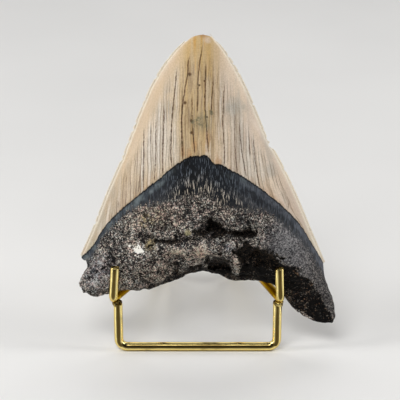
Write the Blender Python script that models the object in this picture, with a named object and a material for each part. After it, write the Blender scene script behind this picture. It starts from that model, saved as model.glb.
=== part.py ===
"""A fossil megalodon tooth that leans on a stand of bent brass wire.

X runs to the right, Y away from the viewer and Z up. The origin is on the table, under the middle of
the object's box. Stand sizes are measured from the middle of the front bar (x) and from the bar's axis
(y). Tooth sizes are in the tooth's own frame: u to the right, v from the root up to the tip and w out
of the bulging front face. Tables are in millimetres.
"""

import math

import bpy
from mathutils import Matrix, Vector, noise

MM = 0.001

# Where the stand's own zero point is in the part's frame.
STAND_ZERO = Vector((-3.4, -29.6, 0.0))

# Stand: one gauge of wire throughout.
WIRE_RADIUS = 1.6
LAP_GAP = 0.45
LAP_PAST_LEG = 2.4
FOOT_LEFT_X = -29.6
FOOT_RIGHT_X = 29.0
UPRIGHT_TOP = 19.65
FOOT_BEND = 3.2
ARM_HEIGHT = 21.85
PRONG_Y = -2.3
PRONG_BEND = 2.6
# Each arm: x of the prong's foot, x and height of its cut end, the arm's drop for each mm it runs back.
LEFT_ARM = (-31.2, -30.2, 35.2, 0.25)
RIGHT_ARM = (29.9, 29.3, 34.8, 0.215)
REAR_LEFT_X = -13.7
REAR_RIGHT_X = 15.3
REAR_Y = 62.0
REAR_FOOT_HEIGHT = 3.5
REAR_TOP_Y = 29.1
REAR_TOP_Z = 58.5
REAR_FOOT_BEND = 4.0
REAR_ARCH_BEND = 13.0

# Tooth: where its frame stands, and how far it leans back.
TOOTH_Y = 5.4
TOOTH_Z = 22.3
TOOTH_LEAN = math.radians(20)

# Half of the outline each: height v, then u. From the crown's corner to the blunt tip.
CROWN_LEFT = ((12.0, -43.5), (23.0, -38.6), (36.5, -33.2), (50.0, -27.3), (63.5, -22.1), (77.0, -16.1),
              (88.0, -8.6), (92.5, -3.8), (94.0, -1.6))
CROWN_RIGHT = ((9.5, 46.5), (23.0, 40.8), (36.5, 35.1), (50.0, 28.4), (54.5, 25.6), (63.5, 21.8),
               (72.0, 18.3), (80.0, 14.4), (87.5, 9.9), (92.5, 5.9), (94.2, 4.4))
TIP_ROUND = 0.8

# Lower edge of the root, left lobe to right lobe: u, then v.
ROOT_EDGE = ((-43.6, -0.8), (-38.5, -2.3), (-34.0, -1.7), (-31.0, 0.0), (-27.5, 0.2), (-24.0, 0.0), (-13.5, 1.5),
             (-6.0, 4.7), (0.5, 6.7), (7.0, 5.4), (13.0, 3.0), (22.0, 3.0), (27.5, 1.6), (30.5, -0.6),
             (33.0, -4.4), (37.0, -8.8), (41.0, -11.0), (45.0, -12.4), (49.8, -12.4))
# Where the enamel ends, a steep chevron in front and a shallow one behind: u, then v.
ENAMEL_FRONT = ((-43.5, 12.0), (-39.0, 16.5), (-35.0, 23.0), (-29.0, 29.5), (-20.0, 37.0), (-10.0, 45.4),
                (-3.0, 49.6), (2.0, 50.6), (6.5, 47.6), (17.0, 41.8), (28.0, 33.7), (36.5, 25.4),
                (42.0, 17.0), (46.5, 9.5))
ENAMEL_BACK = ((-43.5, 12.0), (-37.0, 18.5), (-26.0, 25.5), (-13.0, 29.5), (1.0, 31.0), (15.0, 29.0),
               (28.0, 23.5), (39.0, 16.5), (46.5, 9.5))
ENAMEL_STEP = 0.4
STEP_SHARE = 0.012
# How far the root's sides stand out from a straight line between those two, by share of the way up.
LEFT_SIDE = ((0.0, 0.0), (0.2, -0.9), (0.5, 0.2), (0.75, 2.0), (0.9, 1.4), (1.0, 0.0))
RIGHT_SIDE = ((0.0, 0.0), (0.15, 1.9), (0.35, 1.9), (0.6, 0.6), (0.8, -0.2), (1.0, 0.0))

# Root sections at u: front and back surface, as share of the way up to that side's enamel and w.
ROOT_SECTIONS = (
    (-40, ((0, 1.0), (0.05, 4.5), (0.15, 7.0), (0.4, 8.0), (0.7, 7.0), (1, 4.5)),
     ((0, 1.0), (0.06, -2.0), (0.25, -4.6), (0.6, -5.2), (1, -4.4))),
    (-28, ((0, 3.8), (0.05, 7.5), (0.12, 8.8), (0.35, 11.0), (0.6, 11.2), (1, 9.0)),
     ((0, 3.8), (0.05, -2.8), (0.25, -6.6), (0.6, -7.4), (1, -6.4))),
    (-12, ((0, 0.0), (0.05, 3.5), (0.15, 8.5), (0.28, 13.0), (0.36, 15.6), (0.42, 15.0), (0.48, 13.2),
           (0.62, 14.6), (0.8, 14.2), (1, 12.8)),
     ((0, 0.0), (0.07, -5.0), (0.3, -8.0), (0.6, -8.8), (1, -8.0))),
    (4, ((0, -3.0), (0.05, 1.5), (0.12, 7.5), (0.19, 14.5), (0.24, 16.2), (0.28, 15.6), (0.34, 13.8),
         (0.5, 15.2), (0.75, 15.0), (1, 13.4)),
     ((0, -3.0), (0.08, -6.5), (0.3, -8.8), (0.6, -9.2), (1, -8.4))),
    (20, ((0, -3.0), (0.05, 0.0), (0.15, 5.0), (0.3, 11.5), (0.4, 14.4), (0.5, 13.6), (0.62, 14.5),
          (0.8, 13.8), (1, 11.8)),
     ((0, -3.0), (0.07, -6.0), (0.3, -8.3), (0.6, -8.6), (1, -7.8))),
    (30, ((0, -2.0), (0.05, 1.0), (0.2, 6.0), (0.36, 11.0), (0.45, 12.6), (0.7, 11.8), (1, 9.0)),
     ((0, -2.0), (0.06, -5.5), (0.25, -7.8), (0.6, -7.8), (1, -6.6))),
    (40, ((0, -4.5), (0.1, -1.5), (0.3, 4.0), (0.5, 9.8), (0.56, 10.4), (0.8, 8.8), (1, 5.5)),
     ((0, -4.5), (0.06, -6.5), (0.25, -7.5), (0.6, -6.6), (1, -4.8))),
    (48, ((0, -3.5), (0.1, -1.5), (0.3, 3.5), (0.4, 5.5), (0.7, 4.5), (1, 2.0)),
     ((0, -3.5), (0.06, -5.0), (0.3, -5.5), (0.7, -4.0), (1, -2.0))),
)
# Crown down its middle: height v, then w of the bulging front and of the flatter back.
CROWN_FRONT = ((50, 13.4), (60, 12.6), (70, 11.2), (80, 8.8), (88, 5.8), (93, 2.6), (95.5, 1.0))
CROWN_BACK = ((31, -8.4), (50, -6.8), (60, -5.9), (70, -4.9), (80, -3.5), (90, -1.8), (95.5, -0.6))
CROWN_LENS = 2.2
ROOT_ROUNDING = 3.0

# Pits and lips of the root's front: u, v, half width, half height, depth (negative is a lip), turn.
ROOT_RELIEF = (
    (5.0, 23.5, 4.6, 3.6, 4.2, 0),      # the nutrient hole
    (16.0, 21.4, 7.0, 2.4, 2.4, -8),    # slit to its right
    (-12.0, 19.4, 7.5, 2.4, 1.8, 8),    # slit to its left
    (9.0, 10.2, 4.6, 3.0, 3.2, 0),      # hollow under the ledge
    (20.0, 13.5, 5.6, 4.4, 3.4, -35),   # hollow that opens to the right lobe
    (-8.4, 9.0, 2.2, 5.0, 1.8, 0),      # groove across the ledge
    (-22.0, 24.0, 6.0, 3.5, -0.8, 25),  # swelling of the left shoulder
)
LUMP_HEIGHT = 0.6
LUMP_SIZE = 6.0

# Each side of the tooth: its enamel's edge, its crown's profile, its place in a root section.
FRONT = (ENAMEL_FRONT, CROWN_FRONT, 1)
BACK = (ENAMEL_BACK, CROWN_BACK, 2)

ROOT_ROWS = 24
CROWN_ROWS = 20
COLUMNS = 44


def clear_scene():
    for item in list(bpy.data.objects):
        bpy.data.objects.remove(item, do_unlink=True)


def along(stations, x):
    """The height at x of a smooth curve through the stations, with no swing past them."""
    xs = [station[0] for station in stations]
    ys = [station[1] for station in stations]
    if x <= xs[0]:
        return ys[0]
    if x >= xs[-1]:
        return ys[-1]
    i = max(k for k in range(len(xs) - 1) if xs[k] <= x)
    rises = [(ys[k + 1] - ys[k]) / (xs[k + 1] - xs[k]) for k in range(len(xs) - 1)]

    def slope(k):
        if k == 0:
            return rises[0]
        if k == len(rises):
            return rises[-1]
        before, after = rises[k - 1], rises[k]
        return 0.0 if before * after <= 0 else 2 * before * after / (before + after)

    step = xs[i + 1] - xs[i]
    t = (x - xs[i]) / step
    return ((1 + 2 * t) * (1 - t) ** 2 * ys[i] + t * t * (3 - 2 * t) * ys[i + 1]
            + step * (t * (1 - t) ** 2 * slope(i) + t * t * (t - 1) * slope(i + 1)))


def mix(a, b, share):
    return a + (b - a) * share


def ease(low, high, x):
    t = min(max((x - low) / (high - low), 0.0), 1.0)
    return t * t * (3 - 2 * t)


# ---------------------------------------------------------------- the tooth


def root_surface(u, share, section_side):
    """w of the root's front or back at u, by share of the way up to the enamel."""
    return along([(section[0], along(section[section_side], share)) for section in ROOT_SECTIONS], u)


def pits(u, v):
    """How far the pits and lips cut into the root's front at a place."""
    depth = 0.0
    for place_u, place_v, half_width, half_height, pit, turn in ROOT_RELIEF:
        angle = math.radians(turn)
        du, dv = u - place_u, v - place_v
        across = (du * math.cos(angle) + dv * math.sin(angle)) / half_width
        up = (dv * math.cos(angle) - du * math.sin(angle)) / half_height
        depth += pit * math.exp(-1.2 * (across ** 2 + up ** 2) ** 1.5)
    return depth


def root_place(s, share, enamel_edge):
    """u and v on the root for s from -1, the left side, to 1, the right, by share of the way up."""
    across = (s + 1) / 2
    low_u = mix(ROOT_EDGE[0][0], ROOT_EDGE[-1][0], across)
    high_u = mix(enamel_edge[0][0], enamel_edge[-1][0], across)
    u = mix(low_u, high_u, share)
    u += along(LEFT_SIDE, share) * max(-s, 0.0) ** 5 + along(RIGHT_SIDE, share) * max(s, 0.0) ** 5
    return u, mix(along(ROOT_EDGE, low_u), along(enamel_edge, high_u), share)


def crown_place(s, share, enamel_edge):
    """u and v on the crown, by share of the way from the enamel's edge up to the tip."""
    left_v = mix(CROWN_LEFT[0][0], CROWN_LEFT[-1][0], share)
    right_v = mix(CROWN_RIGHT[0][0], CROWN_RIGHT[-1][0], share)
    across = (s + 1) / 2
    u = mix(along(CROWN_LEFT, left_v), along(CROWN_RIGHT, right_v), across)
    edge_u = mix(enamel_edge[0][0], enamel_edge[-1][0], across)
    chevron = along(enamel_edge, edge_u) - mix(CROWN_LEFT[0][0], CROWN_RIGHT[0][0], across)
    return u, mix(left_v, right_v, across) + chevron * (1 - share) + TIP_ROUND * share ** 8 * (1 - s * s)


def lens(s):
    return 1 - abs(s) ** CROWN_LENS


def root_point(s, share, side):
    enamel_edge, crown_profile, section_side = side
    u, v = root_place(s, share, enamel_edge)
    rounding = (1 - abs(s) ** ROOT_ROUNDING) ** 0.5
    w = mix(1.0 - share, root_surface(u, share, section_side), rounding)
    w = mix(w, crown_profile[0][1] * lens(s), ease(0.55, 1.0, share))
    outward = 1 if side is FRONT else -1
    fade = rounding * ease(0.0, 0.1, share) * (1 - ease(0.6, 0.9, share))
    w += outward * fade * LUMP_HEIGHT * noise.noise(Vector((u, v, 10.0 * outward)) / LUMP_SIZE)
    if side is FRONT:
        w -= fade * pits(u, v)
    return Vector((u, v, w))


def crown_point(s, share, side):
    enamel_edge, crown_profile, _ = side
    u, v = crown_place(s, share, enamel_edge)
    middle = crown_place(0.0, share, enamel_edge)[1]
    base = crown_profile[0][1]
    step = math.copysign(ENAMEL_STEP, base) * ease(0.0, STEP_SHARE, share) * (1 - share)
    return Vector((u, v, (along(crown_profile, middle) + step) * lens(s)))


def tooth_rows(side):
    """Rows of points from the root's lower edge to the tip, closer together at the lower edge."""
    places = [x / (COLUMNS / 2) - 1 for x in range(COLUMNS + 1)]
    places = [x * (1.15 - 0.15 * x * x) for x in places]
    root_shares = [(i / ROOT_ROWS) ** 1.3 for i in range(ROOT_ROWS)]
    crown_shares = [0.0, STEP_SHARE] + [i / CROWN_ROWS for i in range(1, CROWN_ROWS + 1)]
    return ([[root_point(s, share, side) for s in places] for share in root_shares]
            + [[crown_point(s, share, side) for s in places] for share in crown_shares])


def tooth_to_part(point):
    """The tooth's own u, v, w turned back by its lean and set on the stand."""
    lean = Matrix.Rotation(-TOOTH_LEAN, 3, "X")
    upright = Vector((point.x, -point.z, point.y))
    return (lean @ upright + Vector((0.0, TOOTH_Y, TOOTH_Z)) + STAND_ZERO) * MM


def add_tooth(collection, material):
    """A front and a back sheet of like rows, which share the points of the outline."""
    front, back = tooth_rows(FRONT), tooth_rows(BACK)
    last_row, last_column = len(front) - 1, COLUMNS
    points, numbers = [], {}
    for side, rows in enumerate((front, back)):
        for r, row in enumerate(rows):
            for c, point in enumerate(row):
                if side and (r in (0, last_row) or c in (0, last_column)):
                    numbers[side, r, c] = numbers[0, r, c]
                    continue
                numbers[side, r, c] = len(points)
                points.append(tooth_to_part(point))
    faces = []
    for r in range(last_row):
        for c in range(last_column):
            corners = ((r, c), (r, c + 1), (r + 1, c + 1), (r + 1, c))
            faces.append([numbers[0, i, j] for i, j in corners])
            faces.append([numbers[1, i, j] for i, j in reversed(corners)])
    mesh = bpy.data.meshes.new("tooth")
    mesh.from_pydata(points, [], faces)
    mesh.materials.append(material)
    mesh.shade_smooth()
    mesh.set_sharp_from_angle(angle=math.radians(60))
    tooth = bpy.data.objects.new("tooth", mesh)
    collection.objects.link(tooth)
    return tooth


# ---------------------------------------------------------------- the wires


def bent(corners, radii, step=math.radians(18)):
    """The route of a wire along straight runs, with an arc of the given radius at each inner corner."""
    corners = [Vector(corner) for corner in corners]
    route = [corners[0]]
    for before, corner, after, radius in zip(corners, corners[1:], corners[2:], radii):
        run_in, run_out = (corner - before).normalized(), (after - corner).normalized()
        turn = run_in.angle(run_out)
        reach = radius * math.tan(turn / 2)
        inward = (run_out - run_in * run_in.dot(run_out)).normalized()
        start = corner - run_in * reach
        centre = start + inward * radius
        steps = max(2, round(turn / step))
        for k in range(steps + 1):
            angle = turn * k / steps
            route.append(centre + radius * (run_in * math.sin(angle) - inward * math.cos(angle)))
    route.append(corners[-1])
    return route


def add_wire(name, route, collection, material):
    """A round wire with flat cut ends along the route, given in the stand's own millimetres."""
    curve = bpy.data.curves.new(name, "CURVE")
    curve.dimensions = "3D"
    curve.bevel_depth = WIRE_RADIUS * MM
    curve.bevel_resolution = 4
    curve.use_fill_caps = True
    spline = curve.splines.new("POLY")
    spline.points.add(len(route) - 1)
    for point, place in zip(spline.points, route):
        point.co = (*((place + STAND_ZERO) * MM), 1.0)
    spline.use_smooth = True
    curve.materials.append(material)
    wire = bpy.data.objects.new(name, curve)
    collection.objects.link(wire)
    return wire


def front_foot_route():
    return bent(((FOOT_LEFT_X, 0, UPRIGHT_TOP), (FOOT_LEFT_X, 0, WIRE_RADIUS),
                 (FOOT_RIGHT_X, 0, WIRE_RADIUS), (FOOT_RIGHT_X, 0, UPRIGHT_TOP)),
                (FOOT_BEND, FOOT_BEND))


def back_frame_route():
    return bent(((REAR_LEFT_X, REAR_Y, 0), (REAR_LEFT_X, REAR_Y, REAR_FOOT_HEIGHT),
                 (REAR_LEFT_X, REAR_TOP_Y, REAR_TOP_Z), (REAR_RIGHT_X, REAR_TOP_Y, REAR_TOP_Z),
                 (REAR_RIGHT_X, REAR_Y, REAR_FOOT_HEIGHT), (REAR_RIGHT_X, REAR_Y, 0)),
                (REAR_FOOT_BEND, REAR_ARCH_BEND, REAR_ARCH_BEND, REAR_FOOT_BEND))


def arm_route(arm, leg_x):
    """Down the prong, round its bend and back along the outer side of a leg, to just past it."""
    foot_x, top_x, top_z, drop = arm
    corner = Vector((foot_x, PRONG_Y, ARM_HEIGHT - drop * PRONG_Y))
    leg_lean = (REAR_Y - REAR_TOP_Y) / (REAR_TOP_Z - REAR_FOOT_HEIGHT)
    leg_y = REAR_Y
    for _ in range(4):
        leg_z = corner.z - drop * (leg_y - PRONG_Y)
        leg_y = REAR_Y - leg_lean * (leg_z - REAR_FOOT_HEIGHT)
    beside_leg = Vector((leg_x + math.copysign(2 * WIRE_RADIUS + LAP_GAP, leg_x), leg_y, leg_z))
    end = beside_leg + (beside_leg - corner).normalized() * LAP_PAST_LEG
    return bent(((top_x, PRONG_Y, top_z), corner, end), (PRONG_BEND,))


# ---------------------------------------------------------------- the assembly


def add_material(name, colour, roughness, metallic):
    material = bpy.data.materials.new(name)
    material.use_nodes = True
    shader = material.node_tree.nodes["Principled BSDF"]
    shader.inputs["Base Color"].default_value = (*colour, 1.0)
    shader.inputs["Roughness"].default_value = roughness
    shader.inputs["Metallic"].default_value = metallic
    material.diffuse_color = (*colour, 1.0)
    return material


def main():
    clear_scene()
    collection = bpy.data.collections.new("megalodon_tooth")
    bpy.context.scene.collection.children.link(collection)
    add_tooth(collection, add_material("fossil", (0.42, 0.32, 0.22), 0.5, 0.0))
    routes = {
        "front_foot": front_foot_route(),
        "left_arm": arm_route(LEFT_ARM, REAR_LEFT_X),
        "right_arm": arm_route(RIGHT_ARM, REAR_RIGHT_X),
        "back_frame": back_frame_route(),
    }
    for name, route in routes.items():
        add_wire(name, route, collection, add_material(name + "_brass", (0.80, 0.58, 0.20), 0.22, 1.0))


main()
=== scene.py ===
"""A fossil megalodon tooth on a stand of bent brass wire, finished and lit in a plain studio."""

import functools
import math

import bpy
from mathutils import Matrix, Vector, geometry, noise


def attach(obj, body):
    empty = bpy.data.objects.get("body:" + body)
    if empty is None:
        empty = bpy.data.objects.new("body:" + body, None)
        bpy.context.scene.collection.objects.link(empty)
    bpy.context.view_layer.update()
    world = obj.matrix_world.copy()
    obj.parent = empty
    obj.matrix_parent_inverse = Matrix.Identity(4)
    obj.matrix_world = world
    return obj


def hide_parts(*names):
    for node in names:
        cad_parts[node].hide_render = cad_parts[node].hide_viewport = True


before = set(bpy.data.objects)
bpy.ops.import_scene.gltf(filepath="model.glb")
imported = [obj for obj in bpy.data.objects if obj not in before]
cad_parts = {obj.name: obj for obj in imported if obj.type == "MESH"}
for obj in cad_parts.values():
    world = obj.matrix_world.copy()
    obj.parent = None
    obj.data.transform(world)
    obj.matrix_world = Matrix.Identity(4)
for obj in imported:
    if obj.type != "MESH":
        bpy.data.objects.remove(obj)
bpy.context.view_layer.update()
bpy.ops.object.select_all(action="DESELECT")

# ---------------------------------------------------------------- the front foot
# A brass rod of 3.2 mm bent to a flat U. Its bar lies on the table and its two uprights carry the arms.
# The rod is drawn, bent cold, cut, filed round its cut ends and polished.

MM = 0.001
STAND_ZERO = Vector((-3.4, -29.6, 0.0))  # on the table under the front bar, near its middle
WIRE_RADIUS = 1.6
WIRE_SIDES = 28
BEND_STEP = math.radians(7.5)
SMOOTH_UNDER = math.radians(30)  # edges flatter than this are shaded smooth
WELD_WITHIN = 0.001
CUT_BEVEL = 0.22
FOOT_LEFT_X = -29.6
FOOT_RIGHT_X = 29.0
UPRIGHT_TOP = 19.65
FOOT_BEND = 3.2

BRASS_POLISHED = (247, 227, 152)
BRASS_TARNISH_AND_SHADE = (78, 60, 22)
BRASS_EDGE = (214, 178, 96)  # seen where the surface turns away
BRASS_TARNISH = 0.12
TARNISH_CLOUDS = 9.0
RUB_MARKS = 0.5
RUB_DEPTH = 0.05
# Painted dark reflection: each rod is darkened along the side that faces here, and along its opposite, so its
# edges stay bright.
DARK_REFLECTION_FACING = Vector((0.0, -0.92, 0.39))
# Painted shade: the rods are darkened between these, back from the front bar, where the arms run under the
# root: where the darkening begins, is full, fades and ends.
SHADE_UNDER_ROOT = (1.6, 2.8, 12.0, 18.0)


def paint(red, green, blue):
    """A colour given as it looks on a screen, 0 to 255, as the shader wants it."""
    return tuple((c / 255 / 12.92) if c <= 10 else ((c / 255 + 0.055) / 1.055) ** 2.4
                 for c in (red, green, blue)) + (1.0,)


class Shade:
    """A value that varies over a surface. Sums and products of shades add Math nodes to their material."""

    def __init__(self, tree, socket=None):
        self.tree, self.socket = tree, socket

    def node(self, kind, settings=None, inputs=None, out=0):
        """Add a node, set it up, fill or join its sockets, and give back one of its outputs."""
        node = self.tree.nodes.new("ShaderNode" + kind)
        for name, value in (settings or {}).items():
            if name == "stops":
                ramp = node.color_ramp
                while len(ramp.elements) < len(value):
                    ramp.elements.new(1.0)
                for stop, (place, colour) in zip(ramp.elements, value):
                    stop.position, stop.color = place, paint(*colour)
            elif name == "curve":
                line = node.mapping.curves[0]
                while len(line.points) < len(value):
                    line.points.new(1.0, 1.0)
                for point, place in zip(line.points, value):
                    point.location = place
                node.mapping.update()
            else:
                setattr(node, name, value)
        for name, value in (inputs or {}).items():
            if isinstance(value, Shade):
                self.tree.links.new(value.socket, node.inputs[name])
            else:
                node.inputs[name].default_value = value
        return Shade(self.tree, node.outputs[out])

    def maths(self, operation, *values):
        return self.node("Math", {"operation": operation}, dict(enumerate(values)))

    def __add__(self, other):
        return self.maths("ADD", self, other)

    def __sub__(self, other):
        return self.maths("SUBTRACT", self, other)

    def __rsub__(self, other):
        return self.maths("SUBTRACT", other, self)

    def __mul__(self, other):
        return self.maths("MULTIPLY", self, other)

    def __abs__(self):
        return self.maths("ABSOLUTE", self)

    __radd__ = __add__
    __rmul__ = __mul__

    def most(self, other):
        return self.maths("MAXIMUM", self, other)

    def rise(self, low, high, to_low=0.0, to_high=1.0):
        """A smooth step from to_low, at low and under, to to_high, at high and over."""
        return self.node("MapRange", {"interpolation_type": "SMOOTHSTEP"},
                         {0: self, 1: low, 2: high, 3: to_low, 4: to_high})

    def between(self, none, full):
        """One number where this is 0 and another where it is 1."""
        return self.node("Mix", {"data_type": "FLOAT"}, {0: self, 2: none, 3: full})

    def colour(self, none, full):
        """One colour where this is 0 and another where it is 1. Each is a shade or a screen colour."""
        none, full = (c if isinstance(c, Shade) else paint(*c) for c in (none, full))
        return self.node("Mix", {"data_type": "RGBA"}, {0: self, 6: none, 7: full}, out=2)

    def tinted(self, tint, share=1.0):
        """This colour multiplied by a tint, wholly or by a share."""
        tint = tint if isinstance(tint, Shade) else paint(*tint)
        return self.node("Mix", {"data_type": "RGBA", "blend_type": "MULTIPLY"},
                         {0: share, 6: self, 7: tint}, out=2)

    def ramp(self, *stops):
        """Screen colours, each at its own place from 0 to 1."""
        return self.node("ValToRGB", {"stops": stops}, {"Fac": self})

    def grain(self, size, detail=2.0, rough=0.5):
        """Cloudy noise over this place, its features about one size across. 0 to 1, mostly near 0.5."""
        return self.node("TexNoise", None,
                         {"Vector": self, "Scale": 1 / size, "Detail": detail, "Roughness": rough})

    def cells(self, size):
        """Cells over this place, of about one size. Three numbers of 0 to 1, set by chance for each cell."""
        return self.node("TexVoronoi", None, {"Vector": self, "Scale": 1 / size}, out="Color").parts()

    def stretched(self, x, y, z):
        """This place, drawn out by a factor along each axis."""
        return self.node("Mapping", None, {"Vector": self, "Scale": (1 / x, 1 / y, 1 / z)})

    def away_from(self, x, y, z):
        """How far this place is from a point."""
        return self.node("VectorMath", {"operation": "DISTANCE"}, {0: self, 1: (x, y, z)}, out="Value")

    def parts(self):
        """The x, y and z of a place, or the red, green and blue of a colour."""
        apart = self.node("SeparateXYZ", None, {"Vector": self})
        return [Shade(self.tree, output) for output in apart.socket.node.outputs]

    def bump(self, strength, depth):
        """The light and shade of a surface that stands out by this, times the depth."""
        return self.node("Bump", None, {"Strength": strength, "Distance": depth, "Height": self})

    def feed(self, shader, name):
        """Join this to one of a shader's sockets."""
        self.tree.links.new(self.socket, shader.inputs[name])


def new_finish(name):
    """A material with its one shader, and a shade to start its nodes from."""
    material = bpy.data.materials.new(name)
    material.use_nodes = True
    return material, material.node_tree.nodes["Principled BSDF"], Shade(material.node_tree)


def brass_finish(name, tarnish):
    """Polished brass with fine wear, darkened by a painted dark reflection and painted shade. tarnish is the
    share of the surface that has tarnished.
    """
    material, shader, start = new_finish(name)
    place = start.node("TexCoord", out="Object")
    clouds = place.grain(TARNISH_CLOUDS * MM, 3.0, 0.6)
    rubbed = place.grain(RUB_MARKS * MM, 4.0, 0.7)
    unrubbed = start.node("Attribute", {"attribute_name": "unrubbed"}, out="Fac")
    tarnish_and_painted_dark = clouds.rise(0.62 - tarnish * 0.5, 0.86 - tarnish * 0.5)
    # A painted dark reflection down the side of each rod that faces the front, and down its opposite.
    tarnish_and_painted_dark = tarnish_and_painted_dark.most((unrubbed + (clouds - 0.5) * 0.12).rise(0.80, 0.96) * 0.95)
    # Painted shade on the arms where they run under the root.
    _, back, _ = place.parts()
    begin, full, fading, end = ((STAND_ZERO.y + y) * MM for y in SHADE_UNDER_ROOT)
    tarnish_and_painted_dark = tarnish_and_painted_dark.most(back.rise(begin, full) * back.rise(end, fading) * 0.7)
    tarnish_and_painted_dark.colour(BRASS_POLISHED, BRASS_TARNISH_AND_SHADE).feed(shader, "Base Color")
    (tarnish_and_painted_dark * 0.16 + rubbed * 0.08 + 0.04).feed(shader, "Roughness")
    rubbed.bump(0.15, RUB_DEPTH * MM).feed(shader, "Normal")
    shader.inputs["Metallic"].default_value = 1.0
    shader.inputs["Specular Tint"].default_value = paint(*BRASS_EDGE)
    return material


def on_stand(place):
    """A place on the stand, in its own millimetres, as a place in the scene."""
    return (Vector(place) + STAND_ZERO) * MM


def draw_wire(name, corners, radii):
    """Draw a round rod through the corners, with an arc of the given radius at each inner one."""
    corners = [on_stand(corner) for corner in corners]
    runs = [(b - a).normalized() for a, b in zip(corners, corners[1:])]
    bpy.ops.mesh.primitive_circle_add(vertices=WIRE_SIDES, radius=WIRE_RADIUS * MM, fill_type="NGON",
                                      location=corners[0],
                                      rotation=runs[0].to_track_quat("Z", "Y").to_euler())
    wire = bpy.context.object
    wire.name = wire.data.name = name
    bpy.ops.object.transform_apply()
    bpy.ops.object.mode_set(mode="EDIT")
    bpy.ops.mesh.select_mode(type="FACE")
    end = corners[0]
    for corner, run_in, run_out, radius in zip(corners[1:], runs, runs[1:], radii):
        turn = run_in.angle(run_out)
        start = corner - run_in * (radius * MM * math.tan(turn / 2))
        inward = (run_out - run_in * run_in.dot(run_out)).normalized()
        bpy.ops.mesh.extrude_region_move(TRANSFORM_OT_translate={"value": start - end})
        bpy.ops.mesh.spin(steps=max(2, round(turn / BEND_STEP)), angle=turn,
                          center=start + inward * radius * MM, axis=inward.cross(run_in))
        end = corner + run_out * (radius * MM * math.tan(turn / 2))
    bpy.ops.mesh.extrude_region_move(TRANSFORM_OT_translate={"value": corners[-1] - end})
    bpy.ops.mesh.select_all(action="SELECT")
    bpy.ops.mesh.remove_doubles(threshold=WELD_WITHIN * MM)
    bpy.ops.mesh.normals_make_consistent(inside=False)
    bpy.ops.mesh.select_all(action="DESELECT")
    bpy.ops.object.mode_set(mode="OBJECT")
    for face in wire.data.polygons:
        face.select = len(face.vertices) == WIRE_SIDES
    bpy.ops.object.mode_set(mode="EDIT")
    bpy.ops.mesh.bevel(offset=CUT_BEVEL * MM, segments=2, affect="EDGES")
    bpy.ops.object.mode_set(mode="OBJECT")
    bpy.ops.object.shade_smooth_by_angle(angle=SMOOTH_UNDER)
    return wire


def stamp(piece, name, values):
    """Keep one number a vertex, for the finish to read."""
    piece.data.attributes.new(name, "FLOAT", "POINT").data.foreach_set("value", values)


def dark_reflection_share(vertex, corners):
    """How much a place on a rod is darkened by the painted dark reflection, by the side it faces. 0 to 1."""
    def reach(run):
        share = geometry.intersect_point_line(vertex.co, *run)[1]
        return (vertex.co - run[0].lerp(run[1], min(max(share, 0.0), 1.0))).length
    a, b = min(zip(corners, corners[1:]), key=reach)
    along = (b - a).normalized()
    return abs(vertex.normal @ (DARK_REFLECTION_FACING - along * DARK_REFLECTION_FACING.dot(along)).normalized())


brass = brass_finish("polished_brass", BRASS_TARNISH)


def finish_wire(wire, node, corners):
    """Give a rod its brass finish and let it stand for its plain solid."""
    corners = [on_stand(corner) for corner in corners]
    stamp(wire, "unrubbed", [dark_reflection_share(vertex, corners) for vertex in wire.data.vertices])
    wire.data.materials.append(brass)
    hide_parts(node)
    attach(wire, "root")
    wire.select_set(False)


foot_corners = ((FOOT_LEFT_X, 0, UPRIGHT_TOP), (FOOT_LEFT_X, 0, WIRE_RADIUS),
                (FOOT_RIGHT_X, 0, WIRE_RADIUS), (FOOT_RIGHT_X, 0, UPRIGHT_TOP))
front_foot = draw_wire("front_foot_rod", foot_corners, (FOOT_BEND, FOOT_BEND))
finish_wire(front_foot, "front_foot", foot_corners)

# ---------------------------------------------------------------- the arms
# Two shorter lengths of the same rod. Each is a prong that stands in front of a root lobe and then a
# run that goes back under the root to the back frame's leg. The root rests in the bends.

ARM_HEIGHT = 21.85  # of an arm's middle over the table, where it lies on its upright
PRONG_Y = -2.3
PRONG_BEND = 2.6
LAP_GAP = 0.45
LAP_PAST_LEG = 2.4
# Each arm: x of the prong's foot, x and height of its cut end, the arm's drop for each mm it runs back.
LEFT_ARM = (-31.2, -30.2, 35.2, 0.25)
RIGHT_ARM = (29.9, 29.3, 34.8, 0.215)
# The back frame, which the arms run to: its legs lean forward from their feet up to the arch.
REAR_LEFT_X = -13.7
REAR_RIGHT_X = 15.3
REAR_Y = 62.0
REAR_FOOT_HEIGHT = 3.5
REAR_TOP_Y = 29.1
REAR_TOP_Z = 58.5


def arm_corners(arm, leg_x):
    """Down the prong, round its bend and back along the outer side of a leg, to just past it."""
    foot_x, top_x, top_z, drop = arm
    corner = Vector((foot_x, PRONG_Y, ARM_HEIGHT - drop * PRONG_Y))
    leg_lean = (REAR_Y - REAR_TOP_Y) / (REAR_TOP_Z - REAR_FOOT_HEIGHT)
    leg_y = REAR_Y
    for _ in range(4):  # the arm drops and the leg leans, so each turn comes closer to where they meet
        leg_z = corner.z - drop * (leg_y - PRONG_Y)
        leg_y = REAR_Y - leg_lean * (leg_z - REAR_FOOT_HEIGHT)
    beside_leg = Vector((leg_x + math.copysign(2 * WIRE_RADIUS + LAP_GAP, leg_x), leg_y, leg_z))
    end = beside_leg + (beside_leg - corner).normalized() * LAP_PAST_LEG
    return (top_x, PRONG_Y, top_z), corner, end


ARMS = (("left", LEFT_ARM, REAR_LEFT_X), ("right", RIGHT_ARM, REAR_RIGHT_X))
for side, arm, leg_x in ARMS:
    corners = arm_corners(arm, leg_x)
    finish_wire(draw_wire(side + "_arm_rod", corners, (PRONG_BEND,)), side + "_arm", corners)

# ---------------------------------------------------------------- the back frame
# The same rod bent to a tall inverted U. Its legs end in short vertical feet on the table, and the
# tooth's back leans on its arch.

REAR_FOOT_BEND = 4.0
REAR_ARCH_BEND = 13.0

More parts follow.
